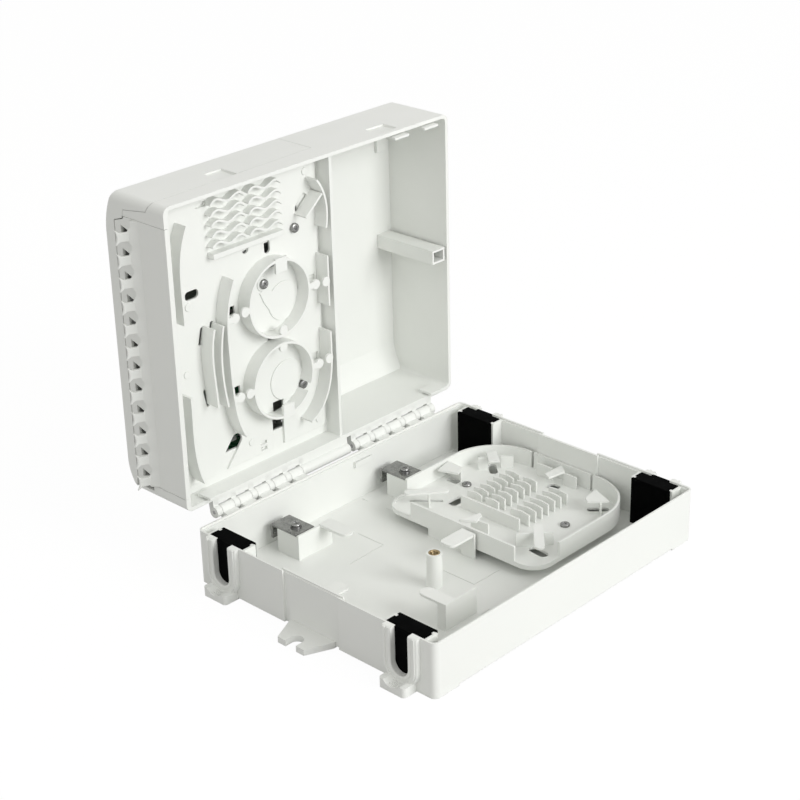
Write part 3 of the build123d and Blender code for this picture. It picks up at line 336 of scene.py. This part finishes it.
def plate(outline, low, high, rim, holes=()):
    """Closed plate: an outline, anticlockwise, and its holes, clockwise, carried from one height to the other.

    Near each face every outline is drawn in along a quarter circle, so that the rim is round.
    """
    turn = np.radians((90.0, 60.0, 30.0, 0.0))
    inset = rim * (1 - np.cos(turn))
    lift = rim * (1 - np.sin(turn))
    insets = np.concatenate((inset, inset[::-1]))
    heights = np.concatenate((low + lift, high - lift[::-1]))
    rings, quads, bottom, top, top_loops = [], [], [], [], []
    count = 0
    for loop in (outline, *holes):
        loop = np.asarray(loop, dtype=float)
        drawn = [drawn_in(loop, inward) for inward in insets]
        rings += [np.column_stack((flat, np.full(len(flat), height))) for flat, height in zip(drawn, heights)]
        quads.append(grid_faces(len(drawn), len(loop), count))
        bottom += range(count, count + len(loop))
        count += len(drawn) * len(loop)
        top += range(count - len(loop), count)
        top_loops.append([Vector((x, y, 0)) for x, y in drawn[-1]])
    points = np.concatenate(rings)
    bottom, top = np.array(bottom), np.array(top)
    cap = np.array(tessellate_polygon(top_loops))
    first, second, third = (points[top[cap[:, corner]], :2] for corner in range(3))
    (x_1, y_1), (x_2, y_2) = (second - first).T, (third - first).T
    clockwise = x_1 * y_2 - y_1 * x_2 < 0
    cap[clockwise] = cap[clockwise][:, ::-1]
    return points, np.concatenate(quads), np.concatenate((top[cap], bottom[cap[:, ::-1]]))


def stood(shape, origin, x_dir, y_dir):
    """The shape set in space by its origin and the directions of its own x and y."""
    points, quads, triangles = shape
    x_dir, y_dir = np.array(x_dir, dtype=float), np.array(y_dir, dtype=float)
    return points @ np.stack((x_dir, y_dir, np.cross(x_dir, y_dir))) + np.array(origin), quads, triangles


def turned_up(shape, place, up):
    """The shape moved to a place, with its own upward direction turned to the given one."""
    points, quads, triangles = shape
    turn = np.array(Vector((0, 0, 1)).rotation_difference(Vector(up)).to_matrix())
    return points @ turn.T + np.array(place), quads, triangles


def piece_from(name, shapes, slot, body, replaced=None, smooth=False):
    """One object of several shapes on a body, in place of a node where one is named."""
    points, faces, count = [], [], 0
    for corners, quads, triangles in shapes:
        points.append(corners)
        faces += (quads + count).tolist() + (triangles + count).tolist()
        count += len(corners)
    mesh = bpy.data.meshes.new(name)
    mesh.from_pydata(np.concatenate(points).tolist(), [], faces)
    mesh.polygons.foreach_set("use_smooth", np.full(len(faces), smooth))
    mesh.materials.append(FINISHES[slot])
    mesh.update()
    piece = bpy.data.objects.new(name, mesh)
    bpy.context.scene.collection.objects.link(piece)
    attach(piece, body)
    if replaced:
        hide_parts(replaced)


lid_low, lid_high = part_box("middle_frame")
LID_LEFT = lid_low[0]
LID_FOOT = lid_high[2] - LID_HEIGHT
LID_RIM = lid_low[1] + KNUCKLE_RADIUS


# Drop cable comb


def comb_plate(rows):
    """Plate with a wedge-shaped opening at each row, its tip towards the rim."""
    outline = [(0, COMB_LOW), (COMB_BACK, COMB_LOW), *COMB_SHOULDER, (0, COMB_HIGH)]
    half = WEDGE_HEIGHT / 2
    wedges = []
    for row in rows:
        middle = row + WEDGE_RISE
        wedges.append([(WEDGE_TIP, middle), (WEDGE_END, middle + half), (WEDGE_END, middle - half)])
    shape = plate(outline, 0, COMB_THICKNESS, COMB_RIM, wedges)
    return stood(shape, (LID_LEFT, LID_RIM, LID_FOOT), (0, 1, 0), (0, 0, 1))


def comb_ridge():
    """Ridge beside the wedges: a closed profile carried up the plate.

    The profile flares up from the plate as a power of the distance and drops steeply on a quarter ellipse.
    The crest's height and the edge's place swing as a cosine of the height, fullest at each lug.
    """
    level = np.linspace(COMB_LOW + RIDGE_INSET, COMB_HIGH - RIDGE_INSET, 240)[:, None]
    swell = 0.5 + 0.5 * np.cos(2 * math.pi * (level - LUG_FIRST) / LUG_PITCH)
    crest = RIDGE_HEIGHT[0] + (RIDGE_HEIGHT[1] - RIDGE_HEIGHT[0]) * swell
    edge = RIDGE_EDGE[0] + (RIDGE_EDGE[1] - RIDGE_EDGE[0]) * swell
    brow = edge - RIDGE_BROW
    rise = np.linspace(0, 1, 28)[None, :]
    drop = np.linspace(0, math.pi / 2, 8)[None, 1:]
    start = np.full_like(level, RIDGE_START)
    sunk = np.full_like(level, -COMB_THICKNESS / 2)
    depth = np.concatenate((start + (brow - start) * rise, brow + (edge - brow) * np.sin(drop), edge, start), axis=1)
    height = np.concatenate((crest * rise**RIDGE_FLARE, crest * np.cos(drop), sunk, sunk), axis=1)
    rows, columns = depth.shape
    ring = np.stack((LID_LEFT - height, LID_RIM + depth, LID_FOOT + level + 0 * depth), axis=-1)
    points = np.concatenate((ring.reshape(-1, 3), ring[[0, -1]].mean(axis=1)))
    foot = np.arange(columns)
    head = foot + (rows - 1) * columns
    caps = np.concatenate((fan(foot, len(points) - 2), fan(head, len(points) - 1)[:, ::-1]))
    return points, grid_faces(rows, columns, 0)[:, ::-1], caps


def comb_lug(row):
    """T-shaped lug: a straight stem and a head with pointed ends and a hollow outer edge, leaning back.

    The head's outer edge is a parabola, deepest in the middle.
    """
    stem = LUG_STEM_WIDTH / 2
    neck = LUG_REACH - LUG_HEAD_LENGTH
    across = np.linspace(-1, 1, 9)
    edge = np.column_stack((LUG_REACH - LUG_HOLLOW * (1 - across**2), across * LUG_HEAD_WIDTH / 2))
    outline = np.concatenate(([(-LUG_ROOT, -stem), (neck, -stem)], edge, [(neck, stem), (-LUG_ROOT, stem)]))
    shape = plate(outline, -LUG_THICKNESS / 2, LUG_THICKNESS / 2, LUG_RIM)
    out = (-math.cos(LUG_TILT), math.sin(LUG_TILT), 0)
    return stood(shape, (LID_LEFT, LID_RIM + LUG_DEPTH, LID_FOOT + row), out, (0, 0, 1))


def drop_cable_comb():
    """The comb's plate and lugs with flat faces, and its ridge with smooth ones."""
    rows = [LUG_FIRST + step * LUG_PITCH for step in range(LUG_COUNT)]
    shapes = [comb_plate(rows)] + [comb_lug(row) for row in rows]
    piece_from("drop_cable_comb_lugged", shapes, "white_plastic", "lid", "drop_cable_comb")
    piece_from("drop_cable_comb_ridge", [comb_ridge()], "white_plastic", "lid", smooth=True)


# Hinge apron


def hinge_apron():
    """Strip over each hinge group: a long plate with slanting ends, standing in the lid's rim wall."""
    shapes = []
    for start in APRON_STARTS:
        end = start + APRON_LENGTH
        corners = [
            (start + APRON_SLANT, -APRON_DROP), (end - APRON_SLANT, -APRON_DROP),
            (end, APRON_ROOT), (start, APRON_ROOT),
        ]
        shape = plate(corners, 0, WALL - APRON_GAP, APRON_RIM)
        shapes.append(stood(shape, (LID_LEFT, LID_RIM + WALL, LID_FOOT), (1, 0, 0), (0, 0, 1)))
    piece_from("hinge_apron", shapes, "white_plastic", "lid")


# Cable entries and glands

SLOT_CENTRE = (0, SLOT_BOTTOM + SLOT_RADIUS)


def u_outline(outer, inner, top):
    """U shape: outside round a lower half circle and up to the top, back down its inside."""
    outside = arc(SLOT_CENTRE, outer, 180, 360)
    inside = arc(SLOT_CENTRE, inner, 360, 180)
    return np.concatenate(([(-outer, top)], outside, [(outer, top), (inner, top)], inside, [(-inner, top)]))


def entry_lips():
    """Two raised ridges on each entry's surround, with a channel between them."""
    shapes = []
    for side in (-1, 1):
        for hand in (-1, 1):
            origin = (side * (HALF_LENGTH + SURROUND_DEPTH - LIP_ROOT), hand * ENTRY_PITCH / 2, 0)
            for outer, inner, rise in LIPS:
                shape = plate(u_outline(outer, inner, RIM_HEIGHT - LIP_TOP_GAP), 0, rise + LIP_ROOT, LIP_RIM)
                shapes.append(stood(shape, origin, (0, side, 0), (0, 0, 1)))
    piece_from("entry_lips", shapes, "white_plastic", "base")


def moulded_gland(node):
    """Rubber block with a groove down each end, and a flat-sided nose that fills the wall's slot."""
    low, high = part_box(node)
    side = 1 if low[0] > 0 else -1
    origin = (side * (HALF_LENGTH - WALL), (low[1] + high[1]) / 2, 0)
    half = GLAND_WIDTH / 2
    floor = half - GLAND_GROOVE_DEPTH
    near, far = GLAND_GROOVE_PLACE, GLAND_GROOVE_PLACE + GLAND_GROOVE
    right = [(half, 0), (half, near), (floor, near), (floor, far), (half, far), (half, GLAND_DEPTH)]
    outline = right + [(-x, y) for x, y in right[::-1]]
    block = stood(plate(outline, low[2], high[2], GLAND_RIM), origin, (0, side, 0), (-side, 0, 0))
    radius = SLOT_RADIUS - NOSE_GAP
    profile = np.concatenate((arc(SLOT_CENTRE, radius, 180, 360), [(radius, high[2]), (-radius, high[2])]))
    nose = stood(plate(profile, -NOSE_ROOT, NOSE_REACH, NOSE_RIM), origin, (0, side, 0), (0, 0, 1))
    piece_from(node + "_moulded", [block, nose], "black_rubber", "base", node)


# Screws and insert, set where the plain ones are


def cross_recess(x, y):
    """Depth of a cross recess: two crossed slots whose walls slope in, deepest in the middle."""
    arm_x = np.clip((RECESS_REACH - abs(x)) / (0.5 * RECESS_REACH), 0, 1)
    arm_y = np.clip((RECESS_REACH - abs(y)) / (0.5 * RECESS_REACH), 0, 1)
    slot_x = np.clip((RECESS_HALF_WIDTH - abs(y)) / (0.3 * RECESS_HALF_WIDTH), 0, 1) * arm_x
    slot_y = np.clip((RECESS_HALF_WIDTH - abs(x)) / (0.3 * RECESS_HALF_WIDTH), 0, 1) * arm_y
    return RECESS_DEPTH * np.maximum(slot_x, slot_y)


def screw(shank, turn):
    """Screw with its head's underside at zero and its shank below.

    The head's top is a shallow dome, falling as the fourth power of the radius, less the cross recess.
    The shank's radius falls and rises with the distance to the nearest turn of a helix, which is the
    thread, and tapers at its tip.
    """
    columns = 72
    angle = np.linspace(0, 2 * math.pi, columns, endpoint=False)[None, :]
    top_radius = np.linspace(0.02, HEAD_TOP_SHARE, 44)[:, None] * HEAD_RADIUS
    x, y = top_radius * np.cos(angle + turn), top_radius * np.sin(angle + turn)
    top_height = HEAD_HEIGHT - HEAD_DOME * (top_radius / HEAD_RADIUS) ** 4 - cross_recess(x, y)
    side = np.linspace(0, math.pi / 2, 6)[1:, None]
    side_radius = HEAD_RADIUS * (HEAD_TOP_SHARE + (1 - HEAD_TOP_SHARE) * np.sin(side))
    side_height = (HEAD_HEIGHT - HEAD_DOME) * (0.45 + 0.55 * np.cos(side))
    foot_radius = np.array([[HEAD_RADIUS * HEAD_FOOT_SHARE], [SHANK_RADIUS]])
    foot_height = np.zeros((2, 1))
    depth = np.linspace(THREAD_START, shank, int(shank / THREAD_PITCH * 8))[:, None]
    phase = (depth / THREAD_PITCH - angle / (2 * math.pi)) % 1.0
    crest = 1.0 - 2.0 * abs(phase - 0.5)
    taper = np.clip((shank - depth) / SHANK_TIP_LENGTH, SHANK_TIP_SHARE, 1.0)
    shank_radius = (SHANK_RADIUS - THREAD_DEPTH * (1 - crest)) * taper
    wide = np.ones((1, columns))
    radius = np.concatenate((top_radius * wide, side_radius * wide, foot_radius * wide, shank_radius))
    height = np.concatenate((top_height, side_height * wide, foot_height * wide, -depth * wide))
    return turned_shape(radius, height)


def threaded_insert(length, outer):
    """Ring with a threaded bore and a diamond knurl: a closed loop carried round the axis.

    The loop goes down the outside, where two crossed helices raise the knurl in the middle band,
    in under the foot, up the bore, where one helix cuts the thread, and out over the chamfer.
    """
    columns = KNURL_COUNT * 8
    angle = np.linspace(0, 2 * math.pi, columns, endpoint=False)[None, :]
    down = np.linspace(0, 1, 40)[:, None]
    band = abs(down - 0.5) < KNURL_BAND
    one_way = np.cos(KNURL_COUNT * angle + KNURL_TWIST * down)
    other_way = np.cos(KNURL_COUNT * angle - KNURL_TWIST * down)
    outside_radius = outer - KNURL_DEPTH * band * (1 - np.maximum(one_way, other_way)) / 2
    up = np.linspace(0, 1, int(length / INSERT_PITCH * 8))[:, None]
    phase = (up * length / INSERT_PITCH - angle / (2 * math.pi)) % 1.0
    bore_radius = INSERT_BORE + INSERT_THREAD_DEPTH * (1.0 - 2.0 * abs(phase - 0.5))
    bore_height = up * (length - INSERT_CHAMFER) - length
    lip_radius = outer - np.array([[INSERT_LIP], [INSERT_LIP_EDGE]])
    lip_height = np.zeros((2, 1))
    wide = np.ones((1, columns))
    radius = np.concatenate((outside_radius * wide, bore_radius, lip_radius * wide))
    height = np.concatenate((-down * length * wide, bore_height * wide, lip_height * wide))
    height[0] -= INSERT_LIP_EDGE
    ring = np.stack((radius * np.cos(angle), radius * np.sin(angle), height), axis=-1)
    quads = grid_faces(len(ring) + 1, columns, 0)[:, ::-1] % (len(ring) * columns)
    return ring.reshape(-1, 3), quads, np.zeros((0, 3), dtype=int)


def standing_screws(name, node, body, along):
    """Two upright screws in place of a node that holds two, apart along x (0) or y (1)."""
    low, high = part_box(node)
    shank = high[2] - HEAD_HEIGHT - low[2]
    shapes = []
    for spot, turn in ((low[along] + HEAD_RADIUS, 0.4), (high[along] - HEAD_RADIUS, 1.1)):
        place = [(low[0] + high[0]) / 2, (low[1] + high[1]) / 2, high[2] - HEAD_HEIGHT]
        place[along] = spot
        shapes.append(turned_up(screw(shank, turn), place, (0, 0, 1)))
    piece_from(name, shapes, "steel", body, node, smooth=True)


def panel_screws():
    """The three screws of the routing panel, their heads towards the base."""
    low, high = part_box("panel_screws")
    shank = high[1] - low[1] - HEAD_HEIGHT
    shapes = []
    for (x, y), turn in zip(PANEL_SCREWS, (0.2, 0.9, 0.5)):
        place = (LID_LEFT + x * MM, low[1] + HEAD_HEIGHT, LID_FOOT + y * MM)
        shapes.append(turned_up(screw(shank, turn), place, (0, -1, 0)))
    piece_from("panel_screws_threaded", shapes, "steel", "lid", "panel_screws", smooth=True)


def standoff_insert():
    """The insert, its top level with the standoff's."""
    low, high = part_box("brass_insert")
    place = ((low[0] + high[0]) / 2, (low[1] + high[1]) / 2, high[2])
    shape = threaded_insert(high[2] - low[2], (high[0] - low[0]) / 2)
    piece_from("brass_insert_knurled", [turned_up(shape, place, (0, 0, 1))], "brass", "base", "brass_insert", True)


drop_cable_comb()
hinge_apron()
entry_lips()
for node in ("gland_rear_left", "gland_front_left", "gland_rear_right", "gland_front_right"):
    moulded_gland(node)
standing_screws("clamp_screws_threaded", "clamp_screws", "base", 0)
standing_screws("tray_screws_threaded", "tray_screws", "base", 1)
panel_screws()
standoff_insert()


# Floor, light and camera


def ray_flags(tree):
    """One where the camera sees the surface directly, or by way of metal or glass."""
    path = tree.nodes.new("ShaderNodeLightPath")
    total = path.outputs["Is Camera Ray"]
    for other in ("Is Glossy Ray", "Is Transmission Ray"):
        join = tree.nodes.new("ShaderNodeMath")
        join.operation = "MAXIMUM"
        tree.links.new(total, join.inputs[0])
        tree.links.new(path.outputs[other], join.inputs[1])
        total = join.outputs[0]
    return total


def floor_material():
    """Pale floor that the camera sees almost white, with the object's soft shadow left on it."""
    material = bpy.data.materials.new("studio_floor")
    material.use_nodes = True
    tree = material.node_tree
    tree.nodes.clear()
    output = tree.nodes.new("ShaderNodeOutputMaterial")
    paper = tree.nodes.new("ShaderNodeBsdfDiffuse")
    paper.inputs["Color"].default_value = (0.52, 0.52, 0.52, 1)
    glow = tree.nodes.new("ShaderNodeEmission")
    glow.inputs["Strength"].default_value = 1.08
    seen = tree.nodes.new("ShaderNodeMixShader")
    seen.inputs[0].default_value = 0.88
    tree.links.new(paper.outputs[0], seen.inputs[1])
    tree.links.new(glow.outputs[0], seen.inputs[2])
    choice = tree.nodes.new("ShaderNodeMixShader")
    tree.links.new(ray_flags(tree), choice.inputs[0])
    tree.links.new(paper.outputs[0], choice.inputs[1])
    tree.links.new(seen.outputs[0], choice.inputs[2])
    tree.links.new(choice.outputs[0], output.inputs["Surface"])
    return material


def studio_floor(reach):
    """Flat square floor that reaches so many metres each way."""
    mesh = bpy.data.meshes.new("studio_floor")
    corners = [(-reach, -reach, 0), (reach, -reach, 0), (reach, reach, 0), (-reach, reach, 0)]
    mesh.from_pydata(corners, [], [(0, 1, 2, 3)])
    mesh.materials.append(floor_material())
    ground = bpy.data.objects.new("studio_floor", mesh)
    bpy.context.scene.collection.objects.link(ground)


def studio_world():
    """White background for the camera and a soft even light for everything else."""
    world = bpy.data.worlds.new("studio")
    bpy.context.scene.world = world
    world.use_nodes = True
    tree = world.node_tree
    tree.nodes.clear()
    output = tree.nodes.new("ShaderNodeOutputWorld")
    light = tree.nodes.new("ShaderNodeBackground")
    light.inputs["Color"].default_value = (1.0, 0.99, 0.965, 1)
    light.inputs["Strength"].default_value = 0.62
    backdrop = tree.nodes.new("ShaderNodeBackground")
    backdrop.inputs["Strength"].default_value = 1.0
    backdrop.inputs["Color"].default_value = (1, 1, 1, 1)
    choice = tree.nodes.new("ShaderNodeMixShader")
    tree.links.new(ray_flags(tree), choice.inputs[0])
    tree.links.new(light.outputs[0], choice.inputs[1])
    tree.links.new(backdrop.outputs[0], choice.inputs[2])
    tree.links.new(choice.outputs[0], output.inputs["Surface"])


def soft_box(name, place, aim, size, power):
    """Square lamp at a place, turned towards a point."""
    lamp = bpy.data.lights.new(name, "AREA")
    lamp.shape = "SQUARE"
    lamp.size = size
    lamp.energy = power
    holder = bpy.data.objects.new(name, lamp)
    holder.location = place
    holder.rotation_euler = (Vector(aim) - Vector(place)).to_track_quat("-Z", "Y").to_euler()
    bpy.context.scene.collection.objects.link(holder)


def photo_camera():
    """Camera at the photograph's place: right, up and back directions turned by the roll."""
    flat = math.cos(CAMERA_ELEVATION)
    back = Vector((math.sin(CAMERA_AZIMUTH) * flat, -math.cos(CAMERA_AZIMUTH) * flat, math.sin(CAMERA_ELEVATION)))
    level = Vector((math.cos(CAMERA_AZIMUTH), math.sin(CAMERA_AZIMUTH), 0))
    upright = back.cross(level)
    right = math.cos(CAMERA_ROLL) * level + math.sin(CAMERA_ROLL) * upright
    up = math.cos(CAMERA_ROLL) * upright - math.sin(CAMERA_ROLL) * level
    camera = bpy.data.cameras.new("photo_camera")
    camera.lens = CAMERA_LENS
    camera.sensor_width = 36.0
    camera.clip_end = 50.0
    holder = bpy.data.objects.new("photo_camera", camera)
    turn = Matrix((right, up, back)).transposed().to_4x4()
    holder.matrix_world = Matrix.Translation(CAMERA_PLACE) @ turn
    bpy.context.scene.collection.objects.link(holder)
    bpy.context.scene.camera = holder


studio_floor(reach=8.0)
studio_world()
soft_box("key_light", place=(0.35, -2.1, 1.1), aim=(0, 0.1, 0.15), size=1.2, power=33.5)
soft_box("side_light", place=(-2.0, -0.5, 1.5), aim=(0, 0.05, 0.15), size=1.6, power=3.0)
photo_camera()

bpy.context.scene.view_settings.view_transform = "Standard"
